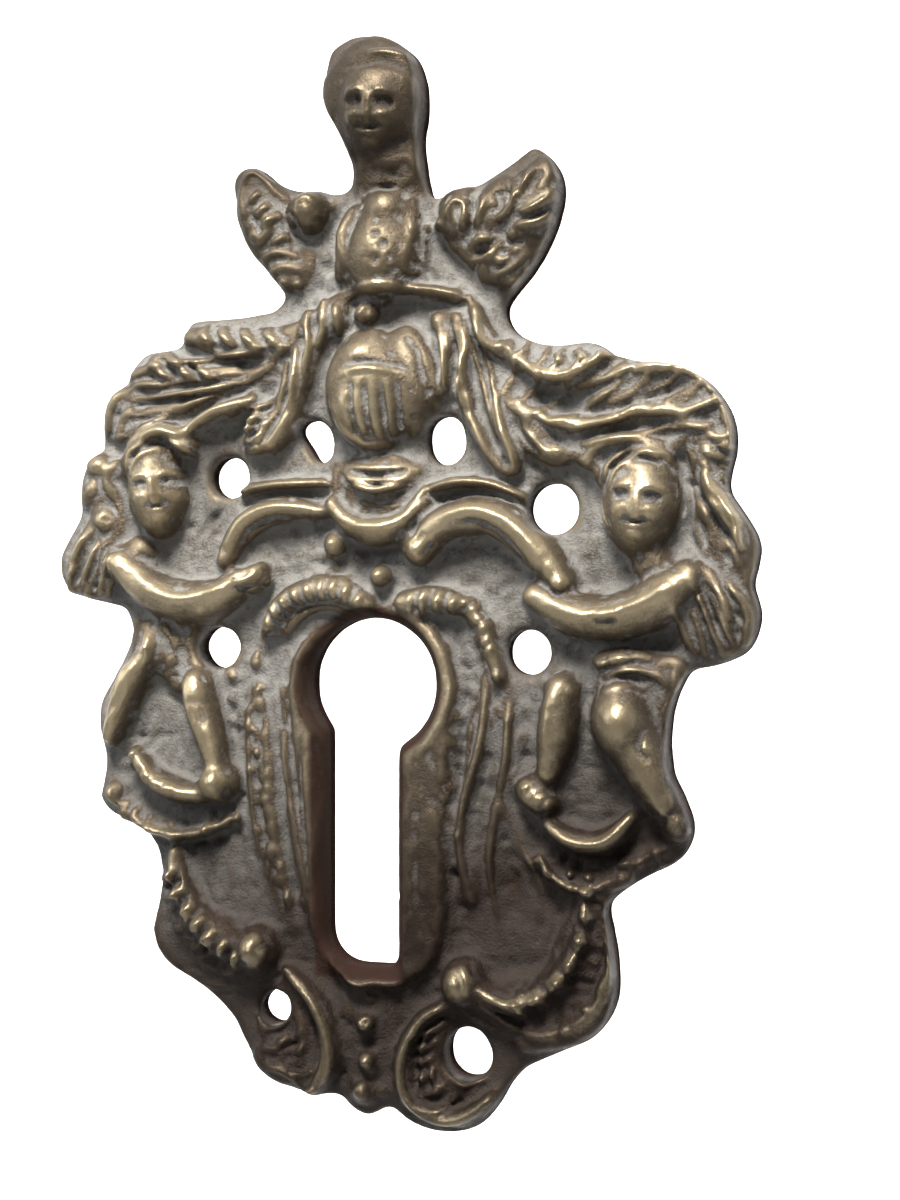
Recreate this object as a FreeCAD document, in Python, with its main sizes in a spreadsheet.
# Keyhole escutcheon: a one-piece cast plate for a cupboard lock, in the rococo taste.
# A crest, a barred helmet and its mantling stand over two cherub supporters, a keyhole
# with a raised lip, and a foot of ribbed scrolls, leaves and drops.
# The plate stands upright: +Z is up, its face looks along -Y, its flat back lies on Y = 0,
# and the origin is the middle of the keyhole's round bow on the back.
import FreeCAD, Part
import math
import os

from FreeCAD import Placement, Rotation, Vector

NODE = "escutcheon"
FRONT = Vector(0, -1, 0)

doc = FreeCAD.newDocument(NODE)

# Sizes of the casting
# Places and widths of the ornament are drawn on a grid, heights of the relief in steps of
# their own, so that the plan and the depth of the relief can be set apart.
SIZES = [
    ("grid_step", 1.0, "one step of the drawing grid"),
    ("relief_step", 1.0, "one step of relief over the ground"),
    ("ground_thickness", 3.4, "plain ground of the plate"),
    ("form_seat", 0.6, "lowest level of a swelling over the back"),
    ("bow_radius", 6.7, "round bow of the keyhole"),
    ("slot_left", 4.9, "left wall of the slot from the middle of the bow"),
    ("slot_right", 2.7, "right wall of the slot from the middle of the bow"),
    ("slot_bottom", 28.4, "foot of the slot below the middle of the bow"),
    ("slot_corner", 3.4, "worn lower left corner of the slot"),
    ("flare_slope", 30, "slope of the keyhole's mouth in degrees"),
    ("lip_rise", 2.1, "top of the lip over the ground"),
    ("lip_slope", 25, "slope of the lip's outer side in degrees"),
    ("root_sunk", 0.5, "depth of a bead's root in the ground"),
    ("cut_reach", 1.0, "reach of each cut past the face that it leaves"),
    ("piercing_reach", 7, "reach of a piercing over the ground, past the ornament"),
    ("upper_left_pin", 2.2, "radius of the upper left nail hole"),
    ("upper_right_pin", 2.6, "radius of the upper right nail hole"),
    ("lower_left_pin", 2.2, "radius of the lower left nail hole"),
    ("lower_right_pin", 2.3, "radius of the lower right nail hole"),
    ("visor_gap", 0.6, "width of a gap between the visor's bars"),
    ("visor_pitch", 1.8, "distance from one gap to the next"),
    ("visor_gap_height", 4.6, "height of a gap"),
    ("visor_front", 7, "level over the ground from which the visor is cut"),
    ("visor_gap_depth", 4, "depth of a gap from that level"),
    ("slit_floor", 2.6, "level over the ground of the eye slit's floor"),
]
sheet = doc.addObject("Spreadsheet::Sheet", "Sizes")
for row, (alias, value, meaning) in enumerate(SIZES, start=1):
    sheet.set(f"A{row}", meaning)
    sheet.set(f"B{row}", str(value))
    sheet.setAlias(f"B{row}", alias)
doc.recompute()


def size(alias):
    """A size as the sheet has it."""
    return float(sheet.get(alias))


grid_step = size("grid_step")
relief_step = size("relief_step")
SWELL_SIDES = 8
SWELL_RINGS = 3
BEAD_SIDES = 6
BEAD_RINGS = 2
FLESH_SIDES = 8
RIDGE_SIDES = 6
VEIN_SIDES = 4


def on_grid(steps):
    """An expression for a length drawn on the grid."""
    return f"Sizes.grid_step * ({steps})"


def place(form, x, z, level, turn=Rotation(), from_x="0"):
    """Sets a form at its place on the grid and at its level over the ground."""
    form.Placement = Placement(Vector(), turn)
    form.setExpression("Placement.Base.x", f"{from_x} + {on_grid(x)}")
    form.setExpression("Placement.Base.y", f"-Sizes.ground_thickness - ({level})")
    form.setExpression("Placement.Base.z", on_grid(z))


def faceted(half_width, half_height, rise, sides, rings):
    """A chased swelling of oval plan: flat facets between rings that close in to its top."""
    levels = []
    for ring in range(rings):
        angle = ring * math.pi / 2 / (rings - 0.4)
        levels.append([
            Vector(half_width * math.cos(angle) * math.cos(around),
                   -rise * math.sin(angle),
                   half_height * math.cos(angle) * math.sin(around))
            for around in (side * 2 * math.pi / sides for side in range(sides))
        ])
    faces = [Part.Face(Part.makePolygon(levels[0] + levels[0][:1])),
             Part.Face(Part.makePolygon(levels[-1] + levels[-1][:1]))]
    for lower, upper in zip(levels, levels[1:]):
        for side in range(sides):
            after = (side + 1) % sides
            corners = [lower[side], lower[after], upper[after], upper[side], lower[side]]
            faces.append(Part.Face(Part.makePolygon(corners)))
    return Part.Solid(Part.Shell(faces))


def dome(name, x, z, half_width, half_height, rise, turn=0):
    """A swelling seated low in the ground."""
    over_seat = size("ground_thickness") - size("form_seat")
    form = doc.addObject("Part::Feature", name)
    form.Shape = faceted(half_width * grid_step, half_height * grid_step,
                         over_seat + rise * relief_step, SWELL_SIDES, SWELL_RINGS)
    place(form, x, z, "Sizes.form_seat - Sizes.ground_thickness", Rotation(FRONT, turn))
    return form


def ball(name, x, z, radius, rise):
    """A bead whose root is sunk in the ground."""
    form = doc.addObject("Part::Feature", name)
    form.Shape = faceted(radius * grid_step, radius * grid_step,
                         rise * relief_step + size("root_sunk"), BEAD_SIDES, BEAD_RINGS)
    place(form, x, z, "-Sizes.root_sunk")
    return form


def swell(name, x, z, half_width, half_height, rise, turn=0):
    """A broad low swelling under finer forms, its rim sunk in the ground."""
    form = doc.addObject("Part::Feature", name)
    form.Shape = faceted(half_width * grid_step, half_height * grid_step,
                         rise * relief_step + size("root_sunk"), SWELL_SIDES, SWELL_RINGS)
    place(form, x, z, "-Sizes.root_sunk", Rotation(FRONT, turn))
    return form


def loft_through(name, stations, sides):
    """A solid of straight facets through regular sections: each station has its place,
    its radius and the level of its middle over the ground."""
    sections = []
    for index, (x, z, radius, level) in enumerate(stations):
        before = stations[max(index - 1, 0)]
        after = stations[min(index + 1, len(stations) - 1)]
        along = Vector(after[0] - before[0], 0, after[1] - before[1]).normalize()
        section = doc.addObject("Part::RegularPolygon", f"{name}_section")
        section.Polygon = sides
        section.setExpression("Circumradius", on_grid(radius))
        turn = Rotation(FRONT, along.cross(FRONT), along, "ZXY")
        place(section, x, z, f"Sizes.relief_step * {level}", turn)
        sections.append(section)
    form = doc.addObject("Part::Loft", name)
    form.Sections = sections
    form.Ruled = True
    form.Solid = True
    return form


def limb(name, path, swell, sides=RIDGE_SIDES):
    """A curved limb or leaf: its middle stands over the ground by this share of its radius,
    so that its root is always sunk."""
    return loft_through(name, [(x, z, radius, radius * swell) for x, z, radius in path], sides)


def rib(name, root, tip, root_radius, tip_radius, level):
    """A feather, vein or rib: a sharp-backed taper that lies at one level."""
    return loft_through(name, [(*root, root_radius, level), (*tip, tip_radius, level)], VEIN_SIDES)


def group(name, forms):
    """Forms of one part of the ornament, run together."""
    fused = doc.addObject("Part::MultiFuse", name)
    fused.Refine = False
    fused.Shapes = forms
    return fused


def arcs(points):
    """Arcs through each three points of a run, with a straight last stretch if two are left."""
    chain = []
    for first in range(0, len(points) - 2, 2):
        start, middle, stop = [Vector(x, z, 0) * grid_step for x, z in points[first:first + 3]]
        turns_left = (middle - start).cross(stop - middle).z > 0
        chain.append(Part.Arc(start, middle, stop) if turns_left else Part.Arc(stop, middle, start))
    if len(points) % 2 == 0:
        start, stop = [Vector(x, z, 0) * grid_step for x, z in points[-2:]]
        chain.append(Part.LineSegment(start, stop))
    return chain


def sketch_in(body, name, offset="0"):
    """A sketch on the body's own upright plane, this far in front of the back."""
    planes = body.Origin.OriginFeatures
    upright = [plane for plane in planes if plane.Role == "XZ_Plane"][0]
    sketch = body.newObject("Sketcher::SketchObject", name)
    sketch.AttachmentSupport = [(upright, "")]
    sketch.MapMode = "FlatFace"
    sketch.setExpression("AttachmentOffset.Base.z", offset)
    return sketch


def prism(name, runs, length, offset="0", slope=None):
    """A body of one outline of arcs, raised towards the front, with sloping sides if named."""
    body = doc.addObject("PartDesign::Body", name)
    outline = sketch_in(body, f"{name}_outline", offset)
    for run in runs:
        outline.addGeometry(arcs(run), False)
    doc.recompute()
    pad = body.newObject("PartDesign::Pad", f"{name}_pad")
    pad.Profile = outline
    pad.setExpression("Length", length)
    if slope:
        pad.setExpression("TaperAngle", slope)
    return body


# The ground of the plate
# Its outline runs clockwise from the neck of the crest in runs that meet at the notches
# between one ornament and the next.
OUTLINE = [
    # crest: a head on a neck
    [(-2.4, 50.2), (-2.2, 52.5), (-3.7, 56.6), (-5.2, 60.5), (-4.7, 64.3), (-3, 65.4),
     (0, 65.6), (2.4, 64.7), (4.3, 63.3), (5.3, 60), (4.9, 55.5), (5.2, 51.9), (5.9, 48.6)],
    # right wing
    [(5.9, 48.6), (8.5, 49.2), (11, 49.8), (13.8, 51.4), (16.7, 53.4), (18.9, 51.5),
     (19.6, 48.5), (18, 43.6), (15.7, 40.2), (13.7, 38)],
    # right mantling, upper leaf and great lobe
    [(13.7, 38), (14, 36), (15.9, 34.4), (18, 33.7), (20.8, 33.8), (23.5, 33.5),
     (24.7, 32.4)],
    [(24.7, 32.4), (27.4, 31.8), (30.4, 31.3), (33.5, 30.1), (35.5, 28), (36.8, 24.5),
     (36.2, 21), (36, 19)],
    # hair and drapery of the right cherub
    [(36, 19), (37.3, 17.2), (39, 14.5), (38.8, 11.4), (38.2, 9.9)],
    [(38.2, 9.9), (39.1, 6.5), (37.8, 3.4), (35.4, 2.3), (32.3, 1.8), (31.2, -0.3)],
    # right leg and hip
    [(31.2, -0.3), (30.3, -4), (30.7, -9), (31.9, -11.3), (32.6, -13.5), (32, -15.8),
     (29.7, -17.7), (26.4, -19.5), (23.9, -21.5)],
    # right scroll
    [(23.9, -21.5), (24.9, -26.1), (25.2, -29.5), (24.1, -32.9), (22.4, -34.8),
     (18.8, -36.4), (15.7, -37.9), (14, -39.8)],
    # shell and centre drop
    [(14, -39.8), (12.6, -42.3), (11.2, -43.9), (8.6, -44.8), (5.4, -44.6), (3.1, -43.6),
     (1.9, -42.4)],
    [(1.9, -42.4), (1, -42.9), (-0.4, -43.7), (-2.4, -43), (-3.3, -41.7)],
    # left leaf
    [(-3.3, -41.7), (-5.8, -41.8), (-8.2, -41.6), (-10.2, -40.8), (-12.3, -39.4),
     (-14, -36.9), (-15, -34.8)],
    # left scroll
    [(-15, -34.8), (-17.8, -32.2), (-21, -30.3), (-23.6, -28.3), (-24.4, -25.5),
     (-23.7, -22.6), (-23.3, -20), (-23.7, -17.6)],
    # left hip and leg
    [(-23.7, -17.6), (-25.2, -15.6), (-27.2, -14.5), (-29.7, -13.3), (-30.6, -12)],
    [(-30.6, -12), (-29.8, -9.5), (-30.2, -6), (-30.6, -3.3), (-29.6, -0.8), (-27.9, 2.1),
     (-26.5, 5), (-27.4, 7.7)],
    # drapery and hair of the left cherub
    [(-27.4, 7.7), (-30.4, 8.3), (-33.2, 9), (-35, 11), (-34.6, 14), (-32.5, 17.4)],
    [(-32.5, 17.4), (-32.7, 20), (-32, 22.8), (-30, 23.7)],
    # left mantling
    [(-30, 23.7), (-29.9, 26.4), (-28.8, 29.9), (-26.9, 31.3)],
    [(-26.9, 31.3), (-26.4, 32.9), (-24.5, 34.4), (-20.2, 34.5)],
    [(-20.2, 34.5), (-20.6, 36.3), (-19.6, 37.5), (-15, 37.6), (-10.8, 38.1), (-9.3, 39.3)],
    # left wing
    [(-9.3, 39.3), (-10.5, 41.1), (-12.8, 43.7), (-14.4, 47.2), (-15.2, 50.3), (-13.9, 53),
     (-11.8, 52.3), (-8.5, 50.4), (-5.8, 50.4), (-3.7, 49.7), (-2.4, 50.2)],
]
plate = prism("Ground", OUTLINE, "Sizes.ground_thickness")

# Crest: a capped head on a swelling trunk, between two wings
crest = [
    dome("Crest_head", 0.9, 57.9, 4.5, 5.7, 5.2),
    limb("Crest_cap", [(-3.2, 62.6, 0.9), (-1.6, 63.7, 1.1), (1.0, 63.9, 1.1), (3.1, 62.9, 1.0),
          (4.2, 61.3, 0.8)], 0.9),
    dome("Crest_neck", 2.3, 52.3, 2.5, 3.4, 2.9),
    dome("Crest_trunk", 1.7, 43.1, 4.1, 5.6, 4.4),
    ball("Crest_button", 2.7, 48.4, 1.3, 3.6),
    ball("Crest_shoulder", 4.6, 46.0, 1.4, 3),
    limb("Torse", [(-2.5, 38.7, 0.9), (0.5, 39.0, 1.0), (3.6, 39.0, 1.0), (6.8, 38.6, 1.1),
          (9.8, 38.4, 0.8)], 0.6),
    ball("Torse_ring", -0.0, 37.3, 1.3, 3.4),
]
left_wing = [
    limb("Left_wing_rim", [(-12.9, 45.9, 0.8), (-13.6, 48.5, 1.1), (-12.7, 51.1, 1.2),
          (-10.9, 50.1, 1.1), (-8.8, 48.5, 0.9)], 0.5),
    ball("Left_wing_joint", -5.7, 47.7, 2.2, 3.4),
    dome("Left_wing_blade", -10.8, 46.6, 2.4, 4.0, 1.6),
    dome("Left_wing_root", -7.5, 42.8, 3.0, 2.6, 0.8),
]
right_wing = [
    dome("Right_wing_joint", 9.7, 45.4, 2.6, 3.2, 2.6),
    rib("Right_feather_a", (11.5, 44.9), (11.3, 48.2), 0.9, 1.0, 0.5),
    rib("Right_feather_b", (13.1, 44.4), (15.0, 49.2), 0.9, 1.2, 0.5),
    limb("Right_feather_c", [(15.7, 45.7, 0.8), (16.8, 48.1, 1.2), (17.3, 50.6, 1.2)], 0.5),
    rib("Right_feather_d", (15.4, 46.8), (18.1, 46.5), 0.8, 0.9, 0.5),
    rib("Right_feather_e", (14.0, 45.1), (17.2, 44.6), 0.8, 0.9, 0.5),
    rib("Right_feather_f", (10.4, 42.8), (14.6, 43.9), 0.8, 1.1, 0.5),
    rib("Right_feather_g", (11.5, 40.9), (15.0, 42.7), 0.8, 1.1, 0.5),
    rib("Right_feather_h", (13.8, 40.0), (15.4, 42.2), 0.7, 0.9, 0.5),
    limb("Right_wing_rim", [(17.9, 50.9, 0.9), (18.5, 48.2, 0.9), (17.7, 45.1, 0.9), (16.2, 42.2, 0.8),
          (14.3, 39.8, 0.7)], 0.5),
    swell("Right_wing_swell", 14.1, 46.6, 3.6, 5.8, 1.1, -36),
]

# Helmet: a round skull with an eye slit, and a visor whose bars stand between narrow gaps
helmet_shell = group("Helmet_shell", [
    dome("Helmet_skull", 0.4, 29.6, 5.6, 6.1, 5),
    dome("Helmet_visor", -0.7, 26.9, 4.4, 3.7, 5),
])
EYE_SLIT = [[(-4.2, 30), (0.6, 32.6), (5, 30.2)], [(5, 30.2), (0.6, 31.6), (-4.2, 30)]]
VISOR_GAPS = 4
visor_cuts = [prism("Eye_slit", EYE_SLIT, "Sizes.visor_front - Sizes.slit_floor",
                    "Sizes.ground_thickness + Sizes.slit_floor")]
for index in range(VISOR_GAPS):
    gap = doc.addObject("Part::Box", "Visor_gap")
    gap.setExpression("Length", "Sizes.visor_gap")
    gap.setExpression("Width", "Sizes.visor_gap_depth")
    gap.setExpression("Height", "Sizes.visor_gap_height")
    pitches = index - (VISOR_GAPS - 1) / 2
    place(gap, -0.6, 24.6, "Sizes.visor_front",
          from_x=f"Sizes.visor_pitch * ({pitches}) - Sizes.visor_gap / 2")
    visor_cuts.append(gap)
helmet_cuts = group("Helmet_cuts", visor_cuts)
helmet_open = doc.addObject("Part::Cut", "Helmet_open")
helmet_open.Refine = False
helmet_open.Base = helmet_shell
helmet_open.Tool = helmet_cuts
gorget = [
    limb("Gorget", [(-3.1, 22.4, 1.0), (-1.5, 20.7, 1.3), (1.3, 19.9, 1.4), (4.0, 20.4, 1.3),
          (5.7, 22.2, 1.0)], 0.7),
    limb("Collar", [(-3.9, 18.0, 0.8), (-2.1, 16.5, 1.3), (0.7, 15.7, 1.7), (3.1, 15.9, 1.6),
          (4.8, 17.3, 1.2), (5.6, 18.9, 0.7)], 0.8, FLESH_SIDES),
    swell("Collar_swell", 1.0, 18.4, 4.8, 4.0, 1.5),
    ball("Collar_drop", -3.5, 14.2, 1.4, 1.6),
    ball("Collar_bead", 1.5, 10.8, 1.3, 2.2),
]

# Mantling: torn leaves to each side of the helmet, rolled at their edges
left_mantling = [
    limb("Left_upper_leaf", [(-18.4, 36.0, 1.1), (-15.4, 35.2, 1.6), (-12.3, 34.9, 1.7),
          (-9.6, 35.2, 1.5), (-7.1, 37.1, 0.9)], 0.6),
    rib("Left_upper_rib_a", (-16.1, 33.8), (-18.3, 36.5), 0.7, 0.9, 1.6),
    rib("Left_upper_rib_b", (-13.6, 33.5), (-16.0, 36.6), 0.7, 0.9, 1.8),
    rib("Left_upper_rib_c", (-11.0, 33.6), (-13.5, 36.5), 0.7, 0.9, 1.8),
    rib("Left_upper_rib_d", (-8.6, 34.2), (-10.9, 36.9), 0.7, 0.9, 1.8),
    limb("Left_middle_leaf", [(-24.7, 32.7, 1.1), (-21.8, 33.0, 1.7), (-19.1, 32.1, 1.4),
          (-16.6, 30.9, 0.7)], 0.6),
    rib("Left_middle_rib_a", (-21.5, 30.9), (-23.2, 33.4), 0.6, 0.8, 1.6),
    rib("Left_middle_rib_b", (-18.6, 30.6), (-20.5, 33.5), 0.6, 0.8, 1.6),
    limb("Left_lower_leaf", [(-27.5, 29.1, 1.0), (-24.1, 28.8, 1.4), (-20.7, 28.7, 1.0)], 0.5),
    dome("Left_outer_leaf", -27.5, 26.4, 1.5, 2.4, 1),
    limb("Left_midrib", [(-6.8, 35.9, 0.7), (-8.6, 33.3, 0.9), (-11.4, 31.3, 1.0), (-14.8, 30.2, 0.9),
          (-18.8, 29.5, 0.8), (-22.8, 30.0, 0.6)], 0.5),
    limb("Left_stem", [(-12.9, 29.2, 0.6), (-14.3, 28.5, 0.9), (-17.1, 27.4, 1.0),
          (-19.7, 25.8, 0.8)], 0.6),
    limb("Left_hanging_leaf", [(-7.7, 33.7, 0.6), (-7.9, 30.6, 0.9), (-7.7, 27.8, 0.9),
          (-9.1, 25.6, 0.8), (-10.6, 26.5, 0.5)], 0.6),
    limb("Left_inner_leaf", [(-6.8, 34.9, 0.6), (-6.5, 31.8, 0.8), (-6.8, 29.0, 0.7)], 0.6),
    dome("Left_curled_leaf", -11.3, 25.6, 2.1, 2.7, 2, 10),
    limb("Left_tuft", [(-6.1, 38.3, 0.7), (-6.2, 36.2, 0.9), (-5.7, 34.0, 0.7)], 0.6),
    dome("Left_tuft_swell", -4.1, 36.5, 1.4, 2.2, 1.6),
    swell("Left_leaf_swell", -16.4, 33.3, 10.6, 3.6, 1.2, 15),
    swell("Left_stem_swell", -18.6, 28.3, 7.0, 2.6, 1.0, 12),
]
right_mantling = [
    dome("Right_tuft_swell", 5.9, 35.4, 1.6, 2.8, 1.6),
    limb("Right_tuft_a", [(8.3, 36.5, 0.6), (9.0, 34.1, 0.8), (9.5, 31.1, 0.7),
          (10.5, 28.5, 0.5)], 0.6),
    limb("Right_tuft_b", [(10.1, 36.5, 0.6), (11.0, 33.2, 0.8), (11.8, 30.5, 0.7)], 0.6),
    limb("Right_tuft_c", [(10.9, 37.0, 0.6), (12.7, 34.6, 0.9), (14.1, 32.0, 0.8)], 0.6),
    limb("Right_long_leaf", [(12.4, 31.0, 0.6), (13.3, 28.2, 0.8), (14.6, 24.8, 0.9),
          (15.3, 22.5, 0.7)], 0.6),
    limb("Right_inner_leaf", [(10.1, 28.1, 0.6), (11.0, 25.9, 0.8), (12.5, 23.7, 0.8),
          (13.6, 21.9, 0.6)], 0.6),
    limb("Right_scallop", [(14.3, 33.7, 0.7), (16.0, 31.9, 1.0), (18.5, 30.8, 1.1), (21.1, 30.7, 1.1),
          (22.9, 31.5, 0.9), (24.0, 32.0, 0.6)], 0.6),
    limb("Right_midrib", [(13.8, 29.0, 0.6), (16.5, 26.8, 0.8), (19.8, 25.3, 0.9), (23.2, 25.2, 0.9),
          (26.4, 26.1, 0.8), (28.9, 26.7, 0.6)], 0.5),
    limb("Right_lower_leaf", [(15.3, 26.2, 0.6), (17.4, 24.6, 0.9), (19.5, 22.6, 1.0),
          (22.2, 22.3, 0.9), (25.0, 23.4, 0.9), (27.9, 24.2, 0.6)], 0.6),
    limb("Right_rim", [(25.3, 30.9, 0.7), (28.6, 30.7, 0.9), (31.8, 29.8, 1.0), (34.1, 28.1, 1.0),
          (35.5, 25.8, 0.9), (36.0, 23.2, 0.7)], 0.5),
    limb("Right_lobe_rib_a", [(22.5, 26.8, 0.6), (25.4, 28.7, 0.8), (28.3, 30.5, 0.8)], 0.5),
    limb("Right_lobe_rib_b", [(24.9, 27.2, 0.6), (28.1, 28.6, 0.8), (32.1, 30.2, 0.8)], 0.5),
    rib("Right_lobe_rib_c", (28.8, 27.4), (33.6, 28.4), 0.9, 0.9, 0.7),
    rib("Right_lobe_rib_d", (31.0, 26.6), (34.9, 26.6), 0.9, 0.9, 0.7),
    limb("Right_lobe_vein", [(29.3, 26.5, 0.6), (32.4, 25.2, 0.8), (34.4, 23.5, 0.8),
          (35.6, 22.0, 0.5)], 0.4),
    swell("Right_leaf_swell", 18.2, 31.2, 6.6, 2.6, 1.0, -8),
    swell("Right_lobe_swell", 29.4, 26.4, 6.8, 4.0, 1.4, -12),
    swell("Right_inner_swell", 13.4, 27.2, 2.8, 6.2, 0.9, 18),
]

# Left cherub: head, one arm thrown down, the other raised to the collar, thigh and shin
left_cherub = [
    dome("Left_head", -21.5, 19.9, 4.2, 5.8, 4.8),
    ball("Left_brow", -21.5, 23.2, 2.2, 5),
    limb("Left_cap", [(-26.1, 24.7, 0.6), (-24.3, 25.9, 0.9), (-22.1, 26.3, 0.9),
          (-20.0, 25.2, 0.7)], 0.6),
    ball("Left_curl_a", -28.9, 22.2, 1.5, 2.2),
    ball("Left_curl_b", -28.3, 17.6, 1.8, 2.4),
    dome("Left_wrap", -29.8, 14.1, 2.6, 3.2, 1),
    limb("Left_drape_a", [(-30.6, 15.8, 0.7), (-32.3, 13.1, 1.0), (-32.9, 10.4, 0.8)], 0.6),
    limb("Left_drape_b", [(-29.1, 15.0, 0.6), (-30.5, 12.1, 0.9), (-31.6, 9.5, 0.7)], 0.6),
    limb("Left_arm", [(-26.2, 12.4, 1.4), (-23.6, 10.8, 2.0), (-20.5, 8.8, 2.2), (-17.2, 8.3, 2.2),
          (-14.6, 9.3, 1.8), (-12.6, 10.9, 1.1)], 0.7, FLESH_SIDES),
    rib("Left_thumb", (-14.2, 9.7), (-11.1, 10.9), 1.0, 0.7, 1.6),
    limb("Left_raised_arm", [(-15.4, 13.0, 0.9), (-13.7, 15.4, 1.2), (-11.7, 17.3, 1.2),
          (-9.0, 17.8, 0.9), (-5.6, 18.3, 0.5)], 0.6),
    limb("Left_sleeve", [(-13.1, 19.4, 0.7), (-10.0, 20.0, 0.7), (-5.8, 20.6, 0.6)], 0.5, VEIN_SIDES),
    dome("Left_belly", -21.3, 4.2, 2.8, 3.0, 1.8),
    limb("Left_thigh", [(-24.0, 2.1, 1.3), (-25.0, -0.8, 1.9), (-26.1, -3.3, 1.9),
          (-27.1, -6.2, 1.2)], 0.7, FLESH_SIDES),
    limb("Left_shin", [(-18.8, 0.3, 1.4), (-18.0, -1.7, 2.0), (-17.0, -4.8, 1.9),
          (-16.0, -7.4, 1.6)], 0.7, FLESH_SIDES),
    ball("Left_foot", -15.3, -9.8, 2.2, 3.8),
    limb("Left_sash", [(-26.0, -6.9, 0.8), (-24.3, -9.1, 1.3), (-21.4, -10.6, 1.5),
          (-18.6, -11.2, 1.0)], 0.7),
    limb("Left_cloth", [(-26.1, -12.9, 0.7), (-22.8, -14.9, 0.9), (-19.2, -15.2, 0.9),
          (-15.5, -13.9, 0.7)], 0.5),
    ball("Left_hip", -27.7, -11.7, 1.5, 1.8),
]

# Right cherub: its raised arm reaches for the collar and the other lies over the keyhole
right_cherub = [
    dome("Right_head", 28.1, 17.8, 4.9, 6.2, 5),
    ball("Right_brow", 29.4, 21.3, 2.4, 5.2),
    limb("Right_hair", [(33.6, 21.2, 0.7), (35.2, 18.4, 1.0), (36.6, 15.8, 1.0), (37.9, 14.2, 0.8),
          (38.1, 12.3, 0.7)], 0.6),
    ball("Right_curl", 36.0, 12.1, 1.5, 1.8),
    dome("Right_wrap", 35.7, 7.7, 2.6, 3.6, 1),
    limb("Right_drape_a", [(35.7, 9.5, 0.7), (36.6, 7.0, 0.9), (37.7, 4.3, 0.8)], 0.6),
    limb("Right_drape_b", [(37.5, 9.8, 0.6), (38.0, 7.3, 0.9), (37.3, 4.6, 0.7)], 0.6),
    ball("Right_hand", 5.4, 13.9, 1.7, 3),
    limb("Right_raised_arm", [(6.1, 12.3, 0.8), (7.2, 15.2, 1.4), (9.8, 16.6, 1.7), (13.1, 16.3, 1.8),
          (16.1, 14.4, 1.7), (18.7, 11.0, 1.1)], 0.7, FLESH_SIDES),
    limb("Right_sleeve", [(4.9, 19.5, 0.6), (8.7, 20.0, 0.7), (12.8, 19.6, 0.7),
          (16.0, 18.0, 0.5)], 0.5, VEIN_SIDES),
    limb("Right_arm", [(16.6, 8.3, 1.3), (19.8, 7.3, 1.9), (23.3, 6.2, 2.3), (26.5, 6.4, 2.5),
          (29.9, 7.7, 2.8), (32.5, 8.9, 2.2)], 0.7, FLESH_SIDES),
    rib("Right_elbow", (30.1, 8.5), (31.6, 11.4), 1.4, 1.0, 1.6),
    dome("Right_belly", 27.8, 1.9, 3.4, 2.0, 1.6),
    limb("Right_belt", [(25.4, 1.5, 0.7), (27.8, 0.4, 0.9), (30.5, 1.6, 0.7)], 0.9, VEIN_SIDES),
    limb("Right_thigh", [(26.6, -1.5, 2.3), (27.0, -4.3, 3.3), (27.9, -7.4, 2.6),
          (28.9, -10.7, 1.5)], 0.7, FLESH_SIDES),
    limb("Right_shin", [(20.0, -0.3, 1.4), (19.8, -2.4, 2.0), (19.2, -5.3, 1.9),
          (18.4, -8.1, 1.4)], 0.7, FLESH_SIDES),
    dome("Right_foot", 18.0, -10.8, 2.4, 1.7, 3.2, -25),
    limb("Right_sash", [(18.8, -13.8, 0.7), (21.2, -15.1, 1.2), (24.0, -15.0, 1.2),
          (26.4, -13.0, 0.7)], 0.7),
    limb("Right_cloth", [(18.9, -18.2, 0.6), (21.6, -19.4, 0.8), (24.9, -18.9, 0.6)], 0.5, VEIN_SIDES),
    ball("Right_bead", 26.0, -16.9, 1.1, 1.4),
    ball("Right_hip", 30.9, -13.6, 1.6, 1.6),
]

# Lip of the keyhole: a sloping band round the whole opening, broad on the right of the slot
LIP = [
    (-4.2, 6.7), (-1.6, 8), (1.5, 8.5), (4.6, 8), (7.2, 6.6), (9.2, 3.6), (10, -0.4), (9.8, -4.4),
    (9.2, -8.6), (8.8, -15), (9, -22.9), (8.1, -27.1), (6.2, -29.5), (3.5, -30.5), (-0.9, -30.5),
    (-4.6, -29.3), (-6.6, -26), (-7.5, -20.9), (-8, -12.8), (-8.9, -5.2), (-9.4, -0.7),
    (-8.7, 3.2), (-6.8, 5.4), (-4.2, 6.7),
]
keyhole_lip = prism("Keyhole_lip", zip(LIP, LIP[1:]), "Sizes.lip_rise + Sizes.root_sunk",
                    "Sizes.ground_thickness - Sizes.root_sunk", "-Sizes.lip_slope * 1 deg")

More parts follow.
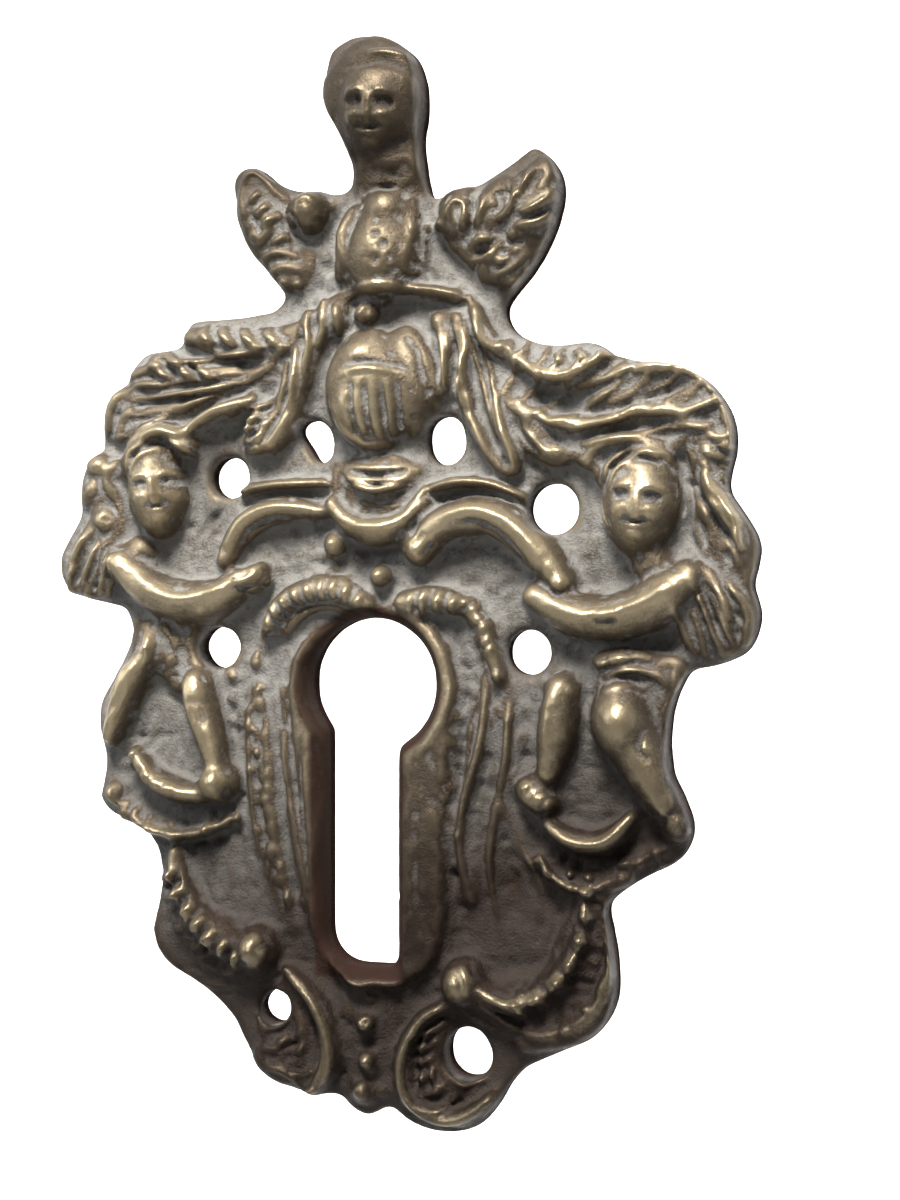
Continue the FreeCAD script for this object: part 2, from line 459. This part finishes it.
# Ribbed scroll arcs over the bow
left_arc = [
    limb("Left_arc_body", [(-11.5, 5.6, 0.8), (-9.9, 7.9, 1.2), (-7.4, 9.3, 1.4), (-4.4, 9.7, 1.5),
          (-1.7, 8.9, 1.3)], 0.7),
    rib("Left_arc_rib_a", (-9.0, 6.5), (-10.5, 8.1), 0.5, 0.7, 2),
    rib("Left_arc_rib_b", (-6.8, 7.9), (-8.2, 9.9), 0.5, 0.7, 2.2),
    rib("Left_arc_rib_c", (-4.8, 8.3), (-6.0, 10.9), 0.5, 0.7, 2.4),
    rib("Left_arc_rib_d", (-3.1, 8.1), (-3.7, 11.1), 0.5, 0.7, 2.4),
    rib("Left_arc_rib_e", (-1.2, 7.7), (-1.4, 10.5), 0.5, 0.7, 2.2),
]
right_arc = [
    limb("Right_arc_body", [(3.7, 8.1, 1.1), (6.1, 8.7, 1.4), (8.3, 8.7, 1.2)], 0.7),
    rib("Right_arc_rib_a", (5.1, 6.9), (5.4, 10.1), 0.5, 0.7, 2.4),
    rib("Right_arc_rib_b", (7.0, 6.9), (7.5, 10.1), 0.5, 0.7, 2.4),
    limb("Right_arc_tail", [(9.4, 9.3, 0.8), (11.1, 8.1, 1.0), (12.0, 5.7, 1.1), (12.7, 3.4, 0.9),
          (13.5, 1.0, 0.7)], 0.6),
    rib("Right_arc_rib_c", (10.1, 7.3), (12.0, 8.5), 0.5, 0.7, 1.8),
    rib("Right_arc_rib_d", (10.7, 5.3), (13.0, 6.3), 0.5, 0.7, 1.8),
]

# Side panels: shallow hollows with a few raised lines
panels = [
    dome("Left_panel_swell", -11.7, -5.8, 2.0, 6.2, 0.7, 4),
    limb("Left_line", [(-11.0, -1.7, 0.6), (-10.0, -7.8, 0.8), (-8.5, -14.9, 0.8),
          (-7.8, -21.0, 0.5)], 0.4, VEIN_SIDES),
    limb("Right_line_a", [(12.2, -3.0, 0.6), (11.7, -6.3, 0.9), (10.2, -11.3, 0.9),
          (9.3, -16.3, 0.6)], 0.5, VEIN_SIDES),
    limb("Right_line_b", [(12.6, -11.3, 0.6), (14.5, -16.1, 0.8), (15.3, -21.5, 0.8),
          (14.4, -26.1, 0.5)], 0.4, VEIN_SIDES),
    rib("Right_line_c", (17.7, -19.0), (17.1, -25.7), 0.7, 0.6, 0.4),
]

# Foot: two ribbed scrolls rolled up into balls, leaves and a string of drops
left_scroll = [
    limb("Left_scroll_rim", [(-22.0, -19.6, 0.7), (-20.3, -23.0, 1.3), (-17.4, -25.6, 1.8),
          (-13.7, -26.8, 2.1), (-11.0, -26.6, 1.8)], 0.5),
    ball("Left_scroll_ball", -10.8, -26.9, 2.0, 3.4),
    rib("Left_scroll_rib_a", (-19.1, -22.3), (-22.4, -24.4), 0.6, 0.9, 1.4),
    rib("Left_scroll_rib_b", (-17.3, -24.6), (-20.9, -27.2), 0.6, 0.9, 1.6),
    rib("Left_scroll_rib_c", (-15.2, -26.0), (-18.2, -28.9), 0.6, 0.9, 1.8),
    rib("Left_scroll_rib_d", (-12.9, -26.6), (-14.8, -29.9), 0.6, 0.9, 2),
]
right_scroll = [
    limb("Right_scroll_rim", [(22.4, -20.4, 0.7), (22.3, -23.6, 1.2), (21.0, -26.7, 1.4),
          (18.6, -29.7, 1.5), (15.2, -31.1, 1.5), (12.3, -30.5, 1.4)], 0.6),
    ball("Right_scroll_ball", 10.5, -29.6, 2.3, 3.6),
    limb("Right_scroll_back", [(23.6, -22.4, 0.7), (23.7, -25.9, 1.4), (22.8, -29.0, 1.7),
          (20.6, -31.7, 1.7), (16.9, -33.4, 1.3)], 0.5),
    rib("Right_scroll_rib_a", (21.3, -23.2), (23.7, -23.4), 0.6, 0.8, 1.2),
    rib("Right_scroll_rib_b", (20.4, -25.7), (23.4, -26.8), 0.6, 0.9, 1.4),
    rib("Right_scroll_rib_c", (18.9, -28.4), (22.0, -30.4), 0.6, 0.9, 1.2),
    rib("Right_scroll_rib_d", (16.3, -29.7), (18.6, -32.5), 0.6, 0.9, 1.2),
]
foot = [
    limb("Left_foot_leaf", [(-8.3, -29.7, 0.6), (-6.4, -31.8, 1.0), (-4.8, -34.7, 1.2),
          (-4.4, -37.7, 1.2), (-6.0, -40.3, 0.9)], 0.6),
    limb("Left_foot_fold", [(-12.6, -35.2, 0.8), (-9.6, -36.4, 1.2),
          (-7.3, -38.5, 1.0)], 0.5, VEIN_SIDES),
    rib("Left_foot_vein", (-7.3, -34.3), (-7.3, -39.4), 0.7, 0.8, 0.5),
    limb("Right_foot_leaf", [(6.6, -32.0, 0.6), (4.6, -34.0, 0.9), (3.3, -37.0, 1.1),
          (3.7, -40.2, 1.1), (5.5, -42.1, 0.9)], 0.6),
    limb("Right_foot_ring", [(7.5, -40.4, 0.9), (10.2, -40.7, 1.3), (13.0, -39.4, 1.2),
          (14.4, -36.4, 1.0)], 0.5),
    rib("Right_foot_vein_a", (6.4, -34.3), (5.2, -38.0), 0.6, 0.7, 0.5),
    rib("Right_foot_vein_b", (5.8, -38.2), (7.5, -41.0), 0.6, 0.6, 0.5),
    ball("Drop_a", 0.1, -31.1, 1.0, 1.2),
    ball("Drop_b", -0.2, -34.0, 1.3, 1.8),
    ball("Drop_c", -0.0, -37.3, 1.3, 1.6),
    dome("Drop_d", 0.2, -40.5, 2.0, 2.0, 1.4),
    swell("Left_foot_swell", -8.6, -38.0, 4.2, 2.8, 1.0, -30),
    swell("Right_foot_swell", 7.4, -41.2, 4.8, 2.6, 1.0),
]

# All the ornament on its ground
relief = group("Relief", [
    plate, *crest, *left_wing, *right_wing, helmet_open, *gorget, *left_mantling,
    *right_mantling, *left_cherub, *right_cherub, keyhole_lip, *left_arc, *right_arc,
    *panels, *left_scroll, *right_scroll, *foot,
])

# Keyhole: straight walls through the ground, then a mouth that flares to the lip
def keyhole_sketch(body, name, offset):
    """The bow over a slot whose lower left corner is worn round."""
    sketch = sketch_in(body, name, offset)
    bow = size("bow_radius")
    left = size("slot_left")
    right = size("slot_right")
    bottom = size("slot_bottom")
    corner = size("slot_corner")
    left_meet = -math.sqrt(bow * bow - left * left)
    right_meet = -math.sqrt(bow * bow - right * right)
    start = math.atan2(right_meet, right)
    end = math.atan2(left_meet, -left) + 2 * math.pi
    middle = Vector(-left + corner, -bottom + corner, 0)
    facing = Vector(0, 0, 1)
    sketch.addGeometry([
        Part.ArcOfCircle(Part.Circle(Vector(), facing, bow), start, end),
        Part.LineSegment(Vector(-left, left_meet, 0), Vector(-left, middle.y, 0)),
        Part.ArcOfCircle(Part.Circle(middle, facing, corner), math.pi, 1.5 * math.pi),
        Part.LineSegment(Vector(middle.x, -bottom, 0), Vector(right, -bottom, 0)),
        Part.LineSegment(Vector(right, -bottom, 0), Vector(right, right_meet, 0)),
    ], False)
    return sketch


keyhole = doc.addObject("PartDesign::Body", "Keyhole")
throat = keyhole_sketch(keyhole, "Keyhole_throat", "-Sizes.cut_reach")
throat_pad = keyhole.newObject("PartDesign::Pad", "Keyhole_throat_pad")
throat_pad.Profile = throat
throat_pad.setExpression("Length", "Sizes.ground_thickness + Sizes.cut_reach")
doc.recompute()
mouth = keyhole_sketch(keyhole, "Keyhole_mouth", "Sizes.ground_thickness")
mouth_pad = keyhole.newObject("PartDesign::Pad", "Keyhole_mouth_pad")
mouth_pad.Profile = mouth
mouth_pad.setExpression("Length", "Sizes.lip_rise + Sizes.cut_reach")
mouth_pad.setExpression("TaperAngle", "Sizes.flare_slope * 1 deg")

# Nail holes, each a straight bore
PINS = [
    ("upper_left_pin", -15.7, 21.1),
    ("upper_right_pin", 18.7, 17.5),
    ("lower_left_pin", -16.8, 3.6),
    ("lower_right_pin", 16.2, 3.3),
]
openings = [keyhole]
for alias, x, z in PINS:
    bore = doc.addObject("Part::Cylinder", f"{alias}_bore")
    bore.setExpression("Radius", f"Sizes.{alias}")
    bore.setExpression("Height", "Sizes.ground_thickness + Sizes.cut_reach * 2")
    place(bore, x, z, "Sizes.cut_reach", Rotation(Vector(1, 0, 0), -90))
    openings.append(bore)

# Pierced ground beside the helmet and in the foot
PIERCINGS = {
    "Helmet_left_piercing": [
        [(-8.6, 25.8), (-6.4, 26.9), (-4.4, 24.4), (-4.6, 22.9), (-6.4, 22.5)],
        [(-6.4, 22.5), (-7.2, 24.2), (-8.6, 25.8)]],
    "Helmet_right_piercing": [
        [(5.5, 25.2), (7.5, 27), (9.6, 24.6), (8.6, 22.2), (6.2, 22.5)],
        [(6.2, 22.5), (5.6, 23.8), (5.5, 25.2)]],
    "Foot_left_piercing": [
        [(-12.4, -33.6), (-11.2, -31.6), (-9, -31.6), (-8.9, -34.2), (-12.4, -33.6)]],
    "Foot_right_piercing": [
        [(7.8, -36.6), (9, -34.3), (11.9, -35.4), (11.4, -38.9), (7.8, -36.6)]],
}
for name, runs in PIERCINGS.items():
    reach = "Sizes.ground_thickness + Sizes.piercing_reach"
    openings.append(prism(name, runs, reach, "-Sizes.cut_reach"))

# The finished casting
cuts = group("Cuts", openings)
casting = doc.addObject("Part::Cut", "Casting")
casting.Refine = False
casting.Base = relief
casting.Tool = cuts
casting.Label = NODE
doc.recompute()

# Check and write
for item in doc.Objects:
    if "Invalid" in item.State or "Error" in item.State:
        raise RuntimeError(f"{item.Name} did not build: {item.State}")
shape = casting.Shape
if shape.isNull() or not shape.isValid() or len(shape.Solids) != 1:
    raise RuntimeError("the casting is not one valid solid")
os.makedirs("parts", exist_ok=True)
shape.exportStep(f"parts/{NODE}.step")
box = shape.BoundBox
print(f"{NODE}: {shape.Volume:.1f} mm3, box {box.XLength:.2f} x {box.YLength:.2f} x {box.ZLength:.2f}")
